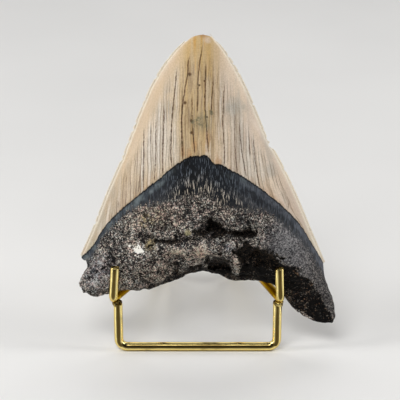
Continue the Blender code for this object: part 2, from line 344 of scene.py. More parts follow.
frame_corners = ((REAR_LEFT_X, REAR_Y, 0), (REAR_LEFT_X, REAR_Y, REAR_FOOT_HEIGHT),
                 (REAR_LEFT_X, REAR_TOP_Y, REAR_TOP_Z), (REAR_RIGHT_X, REAR_TOP_Y, REAR_TOP_Z),
                 (REAR_RIGHT_X, REAR_Y, REAR_FOOT_HEIGHT), (REAR_RIGHT_X, REAR_Y, 0))
back_frame = draw_wire("back_frame_rod", frame_corners,
                       (REAR_FOOT_BEND, REAR_ARCH_BEND, REAR_ARCH_BEND, REAR_FOOT_BEND))
finish_wire(back_frame, "back_frame", frame_corners)

# ---------------------------------------------------------------- the solder
# Yellow hard solder that ran between the rods when they were heated: a bead between each upright's top
# and the arm on it, and one between each arm and the leg that it runs past.

SOLDER_TARNISH = 0.75
BEAD_LUMPS = 0.24  # how much the waves swell it
BEAD_WAVES = 1.4  # how many to a millimetre, more or less
BEAD_SHIFT = 2.0  # sets the waves of one bead apart from those of the next
BEAD_FLARE = 0.30  # how much wider it is where it meets the rods
# Half sizes in x, y and z.
UPRIGHT_BEAD = (1.9, 1.8, 1.25)
LAP_BEAD = (1.35, 1.5, 2.0)
# The beads on the uprights: side, then x.
UPRIGHT_BEADS = (("left", FOOT_LEFT_X - 0.3), ("right", FOOT_RIGHT_X + 0.2))


def add_bead(name, middle, half_sizes):
    """A drop of solder: a ball pressed flat between two rods, its skin set in soft waves."""
    bpy.ops.mesh.primitive_ico_sphere_add(subdivisions=4, radius=MM, location=(0, 0, 0))
    bead = bpy.context.object
    bead.name = bead.data.name = name
    middle = on_stand(middle)
    for vertex in bead.data.vertices:
        swell = 1 + BEAD_LUMPS * noise.noise((vertex.co * BEAD_WAVES + middle * BEAD_SHIFT) / MM)
        waist = 1 + BEAD_FLARE * (vertex.co.z / MM) ** 2
        pressed = Vector([c * size for c, size in zip(vertex.co, half_sizes)])
        pressed.x, pressed.y = pressed.x * waist, pressed.y * waist
        vertex.co = middle + pressed * swell
    bpy.ops.object.shade_smooth()
    bead.data.materials.append(solder)
    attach(bead, "root")
    bead.select_set(False)


solder = brass_finish("solder", SOLDER_TARNISH)
for side, x in UPRIGHT_BEADS:
    add_bead(side + "_upright_solder", (x, 0.0, UPRIGHT_TOP + 0.1), UPRIGHT_BEAD)
for side, arm, leg_x in ARMS:
    _, corner, end = arm_corners(arm, leg_x)
    lap = end - (end - corner).normalized() * LAP_PAST_LEG
    lap.x -= math.copysign(WIRE_RADIUS + LAP_GAP / 2, leg_x)
    add_bead(side + "_lap_solder", lap, LAP_BEAD)

# ---------------------------------------------------------------- the tooth's body
# One fossil: a crown of worn enamel over a root of porous bone, turned to stone together. The enamel
# ends in a chevron over a dark smooth band, and the root is grainy, pitted and broken by a ledge.

TOOTH_LEAN = math.radians(20)
TOOTH_FOOT = STAND_ZERO + Vector((0.0, 5.4, 22.3))
UPRIGHT = Matrix.Rotation(TOOTH_LEAN, 3, "X")
LEANING = UPRIGHT.inverted()
STRAIGHT_IN = LEANING @ Vector((0, 1, 0))  # from the front of the tooth to its back

# Crown's cutting edges: height v, then u. Millimetres in the tooth's own frame, as all its tables are:
# u to the right, v from the root up to the tip, w out of the bulging front.
CROWN_LEFT = ((12.0, -43.5), (23.0, -38.6), (36.5, -33.2), (50.0, -27.3), (63.5, -22.1), (77.0, -16.1),
              (88.0, -8.6), (92.5, -3.8), (94.0, -1.6))
CROWN_RIGHT = ((9.5, 46.5), (23.0, 40.8), (36.5, 35.1), (50.0, 28.4), (54.5, 25.6), (63.5, 21.8),
               (72.0, 18.3), (80.0, 14.4), (87.5, 9.9), (92.5, 5.9), (94.2, 4.4))
# Where the enamel ends, in front and behind: u, then v.
ENAMEL_FRONT = ((-43.5, 12.0), (-39.0, 16.5), (-35.0, 23.0), (-29.0, 29.5), (-20.0, 37.0), (-10.0, 45.4),
                (-3.0, 49.6), (2.0, 50.6), (6.5, 47.6), (17.0, 41.8), (28.0, 33.7), (36.5, 25.4),
                (42.0, 17.0), (46.5, 9.5))
ENAMEL_BACK = ((-43.5, 12.0), (-37.0, 18.5), (-26.0, 25.5), (-13.0, 29.5), (1.0, 31.0), (15.0, 29.0),
               (28.0, 23.5), (39.0, 16.5), (46.5, 9.5))
# Small peaks and dips on the chevron's point: u, height, half width.
CHEVRON_PEAKS = ((0.7, -0.7, 1.3), (5.2, -1.1, 1.6), (9.4, 0.3, 1.2), (-14.0, -0.5, 2.5))
# Holes and slits of the root's front: u, v, half width, half height, turn in degrees, depth.
ROOT_HOLES = (
    (5.0, 24.2, 2.7, 2.9, 0, 3.2),      # the nutrient hole, of three lobes
    (8.0, 22.6, 2.9, 2.6, 0, 3.2),
    (5.8, 20.9, 1.9, 1.2, 0, 1.6),
    (11.4, 21.9, 2.4, 0.9, -8, 1.4),    # slit on its right
    (16.8, 21.5, 4.2, 1.5, -4, 2.4),
    (-11.6, 18.9, 5.0, 0.8, 3, 1.6),    # slit on its left, and the crack that joins it to the hole
    (-17.2, 17.6, 1.8, 0.7, 30, 0.9),
    (-2.4, 20.2, 4.6, 1.3, 8, 0.9),
    (-7.4, 20.6, 2.4, 1.5, 25, 1.2),
    (0.6, 22.2, 2.8, 1.3, 15, 1.4),
    (4.4, 17.4, 0.6, 2.2, -5, 0.9),
    (7.6, 10.2, 5.2, 3.0, 8, 2.6),      # hollows under the ledge
    (17.2, 14.2, 3.8, 4.2, -20, 2.6),
    (25.0, 12.0, 6.2, 3.0, -32, 2.0),
    (-8.2, 9.2, 1.2, 4.0, 5, 1.0),      # groove between two lumps
    (-0.6, 10.0, 2.3, 1.2, 0, 1.1),
)
# Two lumps and a ridge under the ledge, the ledge's lip, and a swelling over its left end: u, v,
# half width, half height, how far out.
ROOT_SWELLS = (
    (-16.2, 8.6, 8.4, 6.8, 1.6),
    (-1.6, 11.8, 6.0, 4.4, 1.2),
    (14.0, 10.4, 2.4, 4.2, 1.5),
    (-4.0, 15.9, 17.0, 2.3, 0.8),
    (-21.0, 25.5, 10.0, 6.5, 0.6),
)
# Where the root's front turns under, into painted shade: u, then v.
TURNS_UNDER = ((-22.0, 0.5), (-16.0, 3.6), (-9.5, 7.0), (-3.0, 8.8), (4.6, 9.0), (13.0, 6.6),
               (17.0, 10.0), (20.7, 16.2), (31.5, 10.4), (37.9, 7.2), (42.4, 1.8), (46.1, -3.8),
               (50.2, -12.0))
# Soft patches of the root: u, v, half width, half height, turn in degrees, how pale, how warm.
ROOT_PATCHES = (
    (-19.0, 28.0, 10.0, 5.5, 35, 0.12, 0.7),
    (-10.0, 27.0, 7.0, 5.0, 0, 0.09, 0.6),
    (-3.0, 14.6, 13.0, 2.4, 0, 0.12, 0.6),
    (0.4, 16.6, 3.6, 1.9, -15, 0.20, 0.7),
    (-8.4, 15.6, 3.4, 1.3, 0, 0.20, 0.7),
    (13.4, 12.0, 1.1, 5.0, 20, 0.34, 0.1),
    (11.2, 16.8, 2.6, 2.2, 0, 0.28, -0.9),
    (-15.5, 8.0, 8.0, 5.5, 0, 0.02, 0.6),
    (-23.0, 17.5, 4.0, 3.0, 0, 0.12, 0.6),
    (5.0, 31.0, 14.0, 3.5, 0, 0.05, 0.3),
    (-36.0, 6.0, 8.0, 9.0, 0, 0.23, -0.8),
    (33.0, 18.0, 12.0, 8.0, -40, 0.03, -0.7),
)
NOTCH = (53.3, 1.3, 0.75)  # chip in the right cutting edge: height, half length, depth
EDGE_WEAR = 0.34
EDGE_WIDTH = 1.2  # how far in from a cutting edge its chips reach
CROWN_FROM = 9.0  # the height from which the cutting edges count, and that from which they are chipped
CHIPS_FROM = 11.0
STONE_LUMPS = ((3.4, 0.50), (1.7, 0.34), (0.9, 0.20))  # size across, height
PORE_SPACING = 2.1
PORE_DEPTH = 0.65
BAND_ROUGH = 0.08  # how rough the band is, where the bone of the front is 1
BACK_ROUGH = 0.8
SMOOTH_SIDE = 0.68  # how much less rough the front of the right lobe is
JOIN_WITHIN = 0.01
SHARP_OVER = math.radians(40)
CREASED_ABOVE = 10.5  # the height from which the cutting edges stay sharp
EDGE_PLANE = 0.2  # they lie this near to the middle plane
SMOOTHING_LEVELS = 2


def curve_through(stations, x):
    """The height at x of a smooth curve through the stations, with no swing past them."""
    xs = [station[0] for station in stations]
    ys = [station[1] for station in stations]
    if x <= xs[0]:
        return ys[0]
    if x >= xs[-1]:
        return ys[-1]
    i = max(k for k in range(len(xs) - 1) if xs[k] <= x)
    rises = [(ys[k + 1] - ys[k]) / (xs[k + 1] - xs[k]) for k in range(len(xs) - 1)]

    def slope(k):
        if k == 0:
            return rises[0]
        if k == len(rises):
            return rises[-1]
        before, after = rises[k - 1], rises[k]
        return 0.0 if before * after <= 0 else 2 * before * after / (before + after)

    step = xs[i + 1] - xs[i]
    t = (x - xs[i]) / step
    return ((1 + 2 * t) * (1 - t) ** 2 * ys[i] + t * t * (3 - 2 * t) * ys[i + 1]
            + step * (t * (1 - t) ** 2 * slope(i) + t * t * (t - 1) * slope(i + 1)))


def ease(low, high, x):
    """A smooth step from 0, at low and under, to 1, at high and over."""
    t = min(max((x - low) / (high - low), 0.0), 1.0)
    return t * t * (3 - 2 * t)


def into_tooth(point):
    """A point of the scene in the tooth's own u, v and w."""
    turned = UPRIGHT @ (point / MM - TOOTH_FOOT)
    return turned.x, turned.z, -turned.y


def out_of_tooth(u, v, w):
    """A point of the tooth's own u, v and w in the scene."""
    return (LEANING @ Vector((u, -w, v)) + TOOTH_FOOT) * MM


def from_middle(u, v, place):
    """How far u, v is from a patch's middle, in its half sizes."""
    place_u, place_v, half_width, half_height, turn = place
    angle = math.radians(turn)
    du, dv = u - place_u, v - place_v
    return math.hypot((du * math.cos(angle) + dv * math.sin(angle)) / half_width,
                      (dv * math.cos(angle) - du * math.sin(angle)) / half_height)


def hole_depth(u, v):
    """How deep the root's holes are at a place, and how dark painted shade makes it there, 0 to 1."""
    depth = dark = 0.0
    ragged = 1 + 0.70 * noise.noise(Vector((u, v, 3.0)) / 1.9)
    ragged += 0.55 * noise.noise(Vector((u, v, 8.0)) / 0.8)
    for *place, deep in ROOT_HOLES:
        reach = from_middle(u, v, place) * ragged
        depth = max(depth, deep * (1 - ease(0.45, 1.2, reach)))
        dark = max(dark, (1 - ease(0.55, 1.4, reach)) * min(deep / 1.6, 1.0))
    return depth, dark


def swell_height(u, v):
    """How far the root's lumps stand out at a place."""
    ragged = 1 + 0.3 * noise.noise(Vector((u, v, 5.0)) / 3.0)
    out = 0.0
    for place_u, place_v, half_width, half_height, height in ROOT_SWELLS:
        reach = from_middle(u, v, (place_u, place_v, half_width, half_height, 0)) * ragged
        out += height * (1 - ease(0.2, 1.15, reach))
    return out


def stone_grain(u, v, w, rough):
    """How far the porous bone stands out or in at a place."""
    place = Vector((u, v, w))
    out = sum(height * noise.noise(place / size) for size, height in STONE_LUMPS)
    near, _ = noise.voronoi(place / PORE_SPACING)
    pore = 1 - ease(0.12, 0.38, near[0] + 0.12 * noise.noise(place / 0.7))
    return (out - PORE_DEPTH * pore * ease(-0.1, 0.3, noise.noise(place / 7.0))) * rough


def edge_chip(u, v):
    """How far a place on a cutting edge is chipped or worn in."""
    height, half_length, depth = NOTCH
    chip = depth * (1 - min(abs(v - height) / half_length, 1.0) ** 2) if u > 0 else 0.0
    worn = EDGE_WEAR * ease(0.28, 0.5, noise.noise(Vector((u * 0.05, v, 1.0)) / 1.6))
    return max(chip, worn)


def enamel_end(u, in_front):
    """The height at which the enamel ends."""
    if not in_front:
        return curve_through(ENAMEL_BACK, u)
    peaks = sum(height * math.exp(-((u - peak_u) / half) ** 2) for peak_u, height, half in CHEVRON_PEAKS)
    return curve_through(ENAMEL_FRONT, u) + peaks


def turned_under(u, v, w, facing, above):
    """How far the root's surface has turned under, which sets its painted shade. 0 to 1."""
    under = ease(0.55, 0.85, -facing.z) * ease(0.0, -4.0, w)
    if w > -2:
        line = curve_through(TURNS_UNDER, u) + 2.2 * noise.noise(Vector((u, v, 0.0)) / 2.5)
        under = max(under, ease(1.8, -2.2, v - line) * ease(-22.0, -16.0, u))
    return under * ease(-4, -12, above)


def stone_roughness(u, v, in_front, above, under):
    """How rough the bone is, below a smooth band that is widest under the chevron's point."""
    if in_front:
        band = 7.0 * math.exp(-((u - 1) / 15) ** 2)
        rough = BAND_ROUGH + (1 - BAND_ROUGH) * ease(-3.0, -8.0 - band, above)
        smooth = ease(17.0, 25.0, u - 0.5 * (v - 8)) * (1 - under)
        low = ease(20.0, 12.0, v) * (1 - smooth) if above < 0 else 0.0
        return rough * (1 - SMOOTH_SIDE * smooth) * (1 + 0.5 * low)
    return BACK_ROUGH * (BAND_ROUGH + (1 - BAND_ROUGH) * ease(-1.5, -9.0, above))


def patch_tint(u, v):
    """How pale and how warm the root's patches make a place."""
    pale = warm = 0.0
    for *patch, paleness, warmth in ROOT_PATCHES:
        share = 1 - ease(0.3, 1.3, from_middle(u, v, patch))
        pale, warm = pale + paleness * share, warm + warmth * share
    return pale, warm


def carve(vertex):
    """Where a point of the smooth tooth ends up, and what the finish has to know there."""
    u, v, w = into_tooth(vertex.co)
    in_front = w > 0
    above = v - enamel_end(u, in_front)
    under = turned_under(u, v, w, UPRIGHT @ vertex.normal, above)
    depth, dark = hole_depth(u, v) if in_front and above < 0 else (0.0, 0.0)
    swell = swell_height(u, v) if in_front and above < 0 else 0.0
    rough = stone_roughness(u, v, in_front, above, under)
    grain = stone_grain(u, v, w, rough) if above < 0 else 0.0
    place = vertex.co + vertex.normal * (grain + swell) * MM + STRAIGHT_IN * depth * MM
    left, right = curve_through(CROWN_LEFT, v), curve_through(CROWN_RIGHT, v)
    inboard = min(u - left, right - u) if v > CROWN_FROM else 0.0
    if v > CHIPS_FROM and inboard < EDGE_WIDTH:
        place.x -= math.copysign(edge_chip(u, v), u) * (1 - ease(0.0, EDGE_WIDTH, inboard)) * MM
    pale, warm = patch_tint(u, v) if in_front else (0.0, 0.0)
    relief = grain + 0.25 * swell
    return place, (above, inboard, float(in_front), dark, under, relief, pale, warm)


tooth = bpy.data.objects.new("tooth_body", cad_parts["tooth"].data.copy())
bpy.context.scene.collection.objects.link(tooth)
tooth.select_set(True)
bpy.context.view_layer.objects.active = tooth
tooth.data.materials.clear()
bpy.ops.object.mode_set(mode="EDIT")
bpy.ops.mesh.select_mode(type="EDGE")
bpy.ops.mesh.select_all(action="SELECT")
bpy.ops.mesh.customdata_custom_splitnormals_clear()
bpy.ops.mesh.remove_doubles(threshold=JOIN_WITHIN * MM)
bpy.ops.mesh.tris_convert_to_quads(face_threshold=math.pi, shape_threshold=math.pi)
bpy.ops.mesh.select_all(action="DESELECT")
bpy.ops.mesh.edges_select_sharp(sharpness=SHARP_OVER)
bpy.ops.object.mode_set(mode="OBJECT")
for edge in tooth.data.edges:
    u, v, w = into_tooth(tooth.data.vertices[edge.vertices[0]].co)
    edge.select = edge.select and v > CREASED_ABOVE and abs(w) < EDGE_PLANE
bpy.ops.object.mode_set(mode="EDIT")
bpy.ops.transform.edge_crease(value=1.0)
bpy.ops.object.mode_set(mode="OBJECT")
bpy.ops.object.modifier_add(type="SUBSURF")
tooth.modifiers[-1].levels = tooth.modifiers[-1].render_levels = SMOOTHING_LEVELS
bpy.ops.object.modifier_apply(modifier=tooth.modifiers[-1].name)

# What is kept with each point for the finish: height above the enamel's end, distance in from the
# cutting edges, whether in front, how dark its holes are painted as shade, how far it has turned under,
# and how much it stands out, pale and warm.
KEPT = ("above_enamel_edge", "inboard", "on_front", "hollow", "underside", "relief", "pale", "warm")
carved = [carve(vertex) for vertex in tooth.data.vertices]
for vertex, (place, _) in zip(tooth.data.vertices, carved):
    vertex.co = place
for name, values in zip(KEPT, zip(*(kept for _, kept in carved))):
    stamp(tooth, name, values)
bpy.ops.object.shade_smooth()
tooth.select_set(False)

# ---------------------------------------------------------------- the serrations
# Both cutting edges are a row of tiny rounded teeth, about fourteen to a centimetre, grown in one with
# the enamel. They are worn low towards the tip and chipped away in places.

SERRATION_PITCH = 0.70
SERRATION_HALF = (0.40, 0.52, 0.34)  # along the edge, out of it, across the blade
SERRATION_LIES_IN = 0.18
# Each row: name, the edge it follows, the height of its lowest serration, the side it points to.
SERRATED = (("left_serrations", CROWN_LEFT, 13.0, -1), ("right_serrations", CROWN_RIGHT, 10.5, 1))
SERRATED_TO = 91.5
WORN_FROM = 80.0
WORN_AWAY = 0.5  # the share of its size that the highest one has lost
CHIPPED = 1.6  # how much deeper the rows are chipped than the edge that carries them
ROUTE_STEPS = 160


def add_serrations(name, edge_stations, lowest, outward):
    """A row of serrations from one that is copied along a cutting edge and bent to follow it."""
    bpy.ops.mesh.primitive_uv_sphere_add(segments=8, ring_count=6, radius=1.0,
                                         location=(0, 0, 0), rotation=(math.pi / 2, 0, 0))
    row = bpy.context.object
    row.name = row.data.name = name
    bpy.ops.object.transform_apply()
    bpy.ops.object.mode_set(mode="EDIT")
    bpy.ops.transform.resize(value=SERRATION_HALF)
    bpy.ops.transform.translate(value=(0, -outward * SERRATION_LIES_IN, 0))
    bpy.ops.object.mode_set(mode="OBJECT")

    edge = bpy.data.curves.new(name + "_route", "CURVE")
    edge.dimensions = "2D"
    route = edge.splines.new("POLY")
    route.points.add(ROUTE_STEPS)
    for k, point in enumerate(route.points):
        v = lowest + (SERRATED_TO - lowest) * k / ROUTE_STEPS
        point.co = (curve_through(edge_stations, v), v, 0.0, 1.0)
        point.radius = 1.0 - WORN_AWAY * ease(WORN_FROM, SERRATED_TO, v)
    guide = bpy.data.objects.new(name + "_route", edge)
    bpy.context.scene.collection.objects.link(guide)

    array = row.modifiers.new("row", "ARRAY")
    array.fit_type, array.curve = "FIT_CURVE", guide
    array.use_relative_offset, array.use_constant_offset = False, True
    array.constant_offset_displace = (SERRATION_PITCH, 0, 0)
    follow = row.modifiers.new("follow", "CURVE")
    follow.object = guide
    bpy.ops.object.modifier_apply(modifier="row")
    bpy.ops.object.modifier_apply(modifier="follow")
    bpy.data.objects.remove(guide, do_unlink=True)
    bpy.ops.object.shade_smooth()
    return row


rows = []
for name, stations, lowest, outward in SERRATED:
    row = add_serrations(name, stations, lowest, outward)
    kept = {mark: [float(mark == "on_front")] * len(row.data.vertices) for mark in KEPT}
    for vertex in row.data.vertices:
        u, v, w = vertex.co
        kept["above_enamel_edge"][vertex.index] = max(v - curve_through(ENAMEL_FRONT, u), 1.0)
        vertex.co = out_of_tooth(u - math.copysign(CHIPPED * edge_chip(u, v), u), v, w)
    row.data.update()
    for mark, values in kept.items():
        stamp(row, mark, values)
    row.select_set(False)
    rows.append(row)

# ---------------------------------------------------------------- the fossil's finish
# Cream enamel with ochre down its middle, long dark drying cracks and finer hairlines between them, and
# a painted highlight along its cutting edges; a blue-black band under it, smooth and with a painted
# sheen at its sides; and grey-brown bone, speckled with pale grains, with painted shade in its holes,
# pores and underneath.

# Colours as they look on a screen. Those in pairs change from one to the other over the surface.
CREAM_LEFT = ((222, 199, 166), (212, 192, 164))
CREAM_RIGHT = ((228, 208, 184), (214, 195, 176))
CREAM_LOW_LEFT = (194, 175, 150)
CREAM_LOWEST = (188, 180, 158)
GREYED = (178, 172, 160)
BLEACHED = (232, 222, 208)
PEACH = (214, 190, 160)
OCHRE = (202, 170, 114)
RUST = (206, 158, 84)
STRIP_PALE = (238, 230, 218)
STRIP_DARK = (168, 146, 120)
PAINTED_EDGE_HIGHLIGHT = (248, 240, 224)
IRON_STAIN = (188, 132, 72)
TIP_STAIN = (158, 108, 54)
TIP_WORN = (230, 216, 206)
HAIRLINE = (112, 86, 56)
CRACK = ((90, 52, 12), (66, 44, 10))
GREEN_HAZE = (136, 134, 108)
GREEN_SPOT = (92, 96, 72)
PITTING = ((232, 229, 224), (255, 255, 255))

BAND = ((7, 9, 12), (20, 25, 32))
SHEEN_LEFT = ((60, 67, 75), (114, 124, 127))
SHEEN_RIGHT = ((63, 67, 75), (97, 101, 110))
SHEEN_LOW = (36, 39, 45)
SHEEN_STREAK = (14, 15, 18)
FIBRE = ((116, 125, 136), (222, 208, 188))
FIBRE_GAP = (12, 13, 16)

BONE = ((0.0, (14, 13, 14)), (0.18, (38, 36, 37)), (0.38, (78, 74, 73)), (0.60, (138, 132, 126)),
        (0.95, (232, 224, 214)))
GRAIN_TINTS = ((0.15, (246, 220, 212)), (0.5, (240, 238, 222)), (0.85, (216, 230, 234)))
WARM_TINT = ((236, 214, 206), (230, 218, 192))
COOL_TINT = (208, 214, 232)
DENSE_BONE = ((50, 50, 54), (152, 150, 150))
DENSE_END = ((36, 35, 37), (114, 110, 108))
TAN_SPOT = (186, 176, 128)
TAN_VEIN = (196, 176, 126)
PAINTED_UNDERSIDE_SHADE = (5, 4, 4)
GRAINS_IN_PAINTED_SHADE = ((128, 98, 74), (126, 120, 112))
PAINTED_HOLLOW_SHADE = ((4, 4, 4), (66, 54, 43))
WHITE_CHIP = (250, 247, 238)
ENAMEL_END_LINE = (10, 10, 11)

LINE_PITCH = 1.15  # between the enamel's hairlines
LINES_END = (90.0, 78.0)  # they fade out towards the tip between these heights
FINE_GRAIN = 0.36
COARSE_GRAIN = 0.72
SURFACE_DEPTH = 0.35
ENAMEL_COAT = 0.22  # the enamel's polish, and that of the band's arms
BAND_COAT = 0.2
COAT_ROUGHNESS = 0.38
STONE_SPECULAR = 0.18
# Greyed places of the enamel: u, v, inner and outer radius, how strong.
GREY_PLACES = ((13.2, 67.0, 1.0, 5.5, 0.9), (-11.7, 73.3, 0.3, 2.2, 0.6), (1.2, 60.8, 1.5, 5.0, 0.6),
               (25.9, 45.0, 0.8, 4.2, 0.7))
# Rust round three of the cracks: u, v, radius, each drawn out along its crack.
RUSTED = ((3.3, 55.8, 1.5), (-1.5, 53.6, 1.3), (-5.6, 51.0, 1.2))
RUST_DRAWN_OUT = 3.2
# Long cracks of the front: u and v down each, then half its width.
LONG_CRACKS = (
    (((-2.9, 86.7), (-3.8, 82.9), (-3.8, 80.1), (-4.7, 75.2), (-5.4, 70.4), (-6.0, 65.0),
      (-5.8, 52.3), (-5.6, 48.5)), 0.21),
    (((-7.8, 81.9), (-8.4, 75.2), (-8.9, 70.4), (-9.5, 64.0), (-9.9, 52.3), (-9.6, 46.0)), 0.19),
    (((1.7, 90.6), (0.7, 85.3), (0.2, 81.2), (-0.2, 76.0), (-0.4, 65.5)), 0.17),
    (((2.6, 83.5), (2.5, 77.3), (2.3, 70.0), (2.5, 65.0), (3.0, 58.6), (3.5, 51.0)), 0.21),
    (((5.3, 78.7), (5.1, 74.2), (4.7, 69.0), (4.7, 64.8)), 0.18),
    (((9.4, 76.0), (8.9, 67.2), (8.7, 62.0), (9.3, 52.3), (9.2, 46.5)), 0.14),
    (((-12.5, 68.5), (-12.6, 60.0), (-12.9, 52.3), (-12.8, 43.2)), 0.18),
    (((-2.2, 72.5), (-2.3, 64.0), (-1.9, 56.8), (-1.4, 51.0)), 0.19),
    (((-15.4, 63.8), (-15.5, 52.3), (-15.9, 41.0)), 0.13),
    (((-17.3, 62.0), (-17.4, 54.0)), 0.10),
    (((-19.9, 60.3), (-20.0, 48.0), (-20.0, 37.8)), 0.17),
    (((-21.2, 44.0), (-21.8, 36.5)), 0.14),
    (((13.0, 66.0), (13.2, 52.0), (14.0, 44.0)), 0.09),
    (((14.8, 62.0), (15.5, 52.3), (17.2, 42.5)), 0.12),
    (((18.0, 60.0), (18.6, 50.0)), 0.11),
    (((19.8, 58.0), (20.4, 48.5), (22.2, 38.6)), 0.12),
    (((-29.0, 33.8), (-29.3, 31.0)), 0.13),
    (((33.0, 33.8), (32.6, 30.4)), 0.13),
)
# Rotted spots beside the cracks: u, v, radius. Then spots gone green.
ROTTED_SPOTS = ((-3.2, 79.3, 0.85), (-4.9, 69.0, 0.85), (-2.4, 62.5, 0.8), (-2.5, 58.2, 0.75),
                (2.2, 76.8, 0.5), (0.3, 75.3, 0.45), (3.0, 63.8, 0.5))
GREEN_SPOTS = ((4.9, 65.4, 1.0), (0.9, 61.3, 0.9), (2.8, 60.2, 0.7), (-1.9, 61.6, 0.9), (0.4, 63.6, 0.8))
CURVE_SPAN = 100.0  # a curve node runs from 0 to 1, which stands for this many millimetres

fossil, shader, start = new_finish("fossil_tooth")

# Where on the tooth: u, v and w in millimetres, and what was kept with the mesh.
place = start.node("Mapping", None, {
    "Vector": start.node("TexCoord", out="Object"), "Location": -(UPRIGHT @ TOOTH_FOOT),
    "Rotation": (TOOTH_LEAN, 0, 0), "Scale": (1 / MM, 1 / MM, 1 / MM)})
u, _, v = place.parts()
above, inboard, front, hollow, under, relief, pale, warm = (
    start.node("Attribute", {"attribute_name": name}, out="Fac") for name in KEPT)
flat = start.node("CombineXYZ", None, {"X": u, "Z": v})


def round_spot(spot_u, spot_v, inner, outer, wobble=0.0):
    """1 within inner millimetres of a place on the tooth's front, 0 beyond outer."""
    return (flat.away_from(spot_u, 0.0, spot_v) + wobble).rise(inner, outer, 1.0, 0.0) * front


# The enamel's lines run straight down and lean out towards the cutting edges, more on the right.
lean = u.rise(12.0, 42.0) * 0.42 - u.rise(-14.0, -42.0) * 0.10
fan = u - lean * (50.0 - v)
sheet = start.node("CombineXYZ", None, {"X": fan, "Y": front * 40.0, "Z": v})
streaks = sheet.stretched(1.1, 60, 30).grain(1.0, 3.0)
cloud = place.grain(1.6, 4.0, 0.65)
soft = (place.grain(2.6, 3.0) - 0.5) * 4.0

# Cream on the left, pinkish on the right, greyed in patches and bleached in others.
slow = sheet.stretched(8, 60, 24).grain(1.0, 2.0).rise(0.35, 0.65)
enamel = u.rise(-4.0, 12.0).colour(slow.colour(*CREAM_LEFT), slow.colour(*CREAM_RIGHT))
enamel = (u.rise(-14.0, -30.0) * v.rise(48.0, 32.0) * 0.9).colour(enamel, CREAM_LOW_LEFT)
greyed = sheet.stretched(4, 60, 20).grain(1.0, 2.0).rise(0.52, 0.68) * 0.45
greyed = greyed.most(round_spot(-13.0, 66.0, 1.0, 8.0, soft) * streaks.rise(0.42, 0.56) * 0.8)
for grey_u, grey_v, inner, outer, share in GREY_PLACES:
    greyed = greyed.most(round_spot(grey_u, grey_v, inner, outer, soft) * share)
enamel = greyed.colour(enamel, GREYED)
bleached = round_spot(-14.0, 54.0, 4.0, 15.0, soft).most(round_spot(19.0, 46.0, 2.0, 9.0, soft) * 0.7)
enamel = (bleached * 0.75).colour(enamel, BLEACHED)
peach = inboard.rise(9.0, 3.0) * u.rise(0.0, -8.0) * v.rise(34.0, 56.0)
enamel = (peach * 0.75).colour(enamel, PEACH)
enamel = (v.rise(31.0, 17.0) * front * 0.65).colour(enamel, CREAM_LOWEST)

# Ochre down the middle, weaker behind, and rust in its upper part.
centre = abs(u - 1.0 + (94 - v) * 0.05)
ochre = centre.rise(2.5, 11.0, 1.0, 0.0) * v.rise(30.0, 64.0) * (0.60 + streaks.rise(0.3, 0.7) * 0.40)
ochre = ochre * (0.5 + front * 0.5)
enamel = ochre.colour(enamel, OCHRE)
rust = sheet.stretched(0.8, 60, 14).grain(1.0, 2.0).rise(0.50, 0.62)
rust = rust * centre.rise(2.0, 5.5, 1.0, 0.0) * v.rise(70.0, 88.0)
enamel = (rust * 0.70).colour(enamel, RUST)

# Between the fine lines lie narrow strips, each of its own shade, all inboard of the smooth edges.
inner = (inboard * (1.0 + v.rise(58.0, 34.0) * 1.4)).rise(3.0, 8.0) * v.rise(*LINES_END)
line_place = fan + (sheet.stretched(3, 60, 7).grain(1.0, 2.0) - 0.5) * 1.3
lines = {"W": line_place, "Scale": 1 / LINE_PITCH}
strip, _, _ = start.node("TexVoronoi", {"voronoi_dimensions": "1D"}, lines, out="Color").parts()
to_line = start.node("TexVoronoi", {"voronoi_dimensions": "1D", "feature": "DISTANCE_TO_EDGE"}, lines)
along = sheet.stretched(1.4, 60, 14).grain(1.0, 3.0, 0.6)
striped = inner * (0.4 + front * 0.6)
pale_strip = strip.rise(0.45, 0.85) * striped * along.rise(0.36, 0.58) * (1.0 - ochre * 0.6)
dark_strip = strip.rise(0.45, 0.05) * striped * along.rise(0.40, 0.62)
enamel = (pale_strip * 0.60).colour(enamel, STRIP_PALE)
enamel = (dark_strip * 0.42).colour(enamel, STRIP_DARK)
# A painted highlight along both cutting edges.
enamel = (inboard.rise(0.1, 1.3, 1.0, 0.0) * 0.85).colour(enamel, PAINTED_EDGE_HIGHLIGHT)

# Iron stain just above the enamel's end, round three of the cracks and at the tip.
stain = above.rise(0.0, 6.0, 1.0, 0.0) * sheet.stretched(1.8, 60, 5).grain(1.0, 2.0).rise(0.44, 0.66)
narrow = flat.stretched(1.0, 1.0, RUST_DRAWN_OUT)
for rust_u, rust_v, size in RUSTED:
    away = narrow.away_from(rust_u, 0.0, rust_v / RUST_DRAWN_OUT)
    stain = stain.most((away + soft * 0.35).rise(0.2, size, 0.85, 0.0))
stain = stain * front * (0.22 + u.rise(-22.0, -6.0) * u.rise(15.0, 7.0) * 0.32)
enamel = stain.colour(enamel, IRON_STAIN)
enamel = (round_spot(1.5, 95.4, 1.0, 3.6, soft * 0.5) * 0.8).colour(enamel, TIP_STAIN)
enamel = (round_spot(3.0, 91.8, 0.2, 2.0, soft * 0.6) * 0.45).colour(enamel, TIP_WORN)

# The long cracks wander a little and are thick and thin by turns.
wander = (place.stretched(1, 1, 2.2).grain(1.0, 2.0) - 0.5) * 0.42
thick = place.stretched(1, 1, 1.3).grain(0.8, 2.0).rise(0.3, 0.7, 0.45, 1.35)


def down_crack(route, half_width):
    """1 in a crack, 0 beside it and past its ends."""
    top, low = route[0][1], route[-1][1]
    height = v * (1 / CURVE_SPAN)
    stops = sorted((y / CURVE_SPAN, x / CURVE_SPAN + 0.5) for x, y in route)
    line = height.node("FloatCurve", {"curve": stops}, {"Value": height}) * CURVE_SPAN - CURVE_SPAN / 2
    gap = abs(u + wander - line)
    between_ends = v.rise(low - 0.5, low + 1.0) * v.rise(top + 1.0, top - 4.0)
    return (thick * half_width - gap).rise(-0.13, 0.10) * between_ends


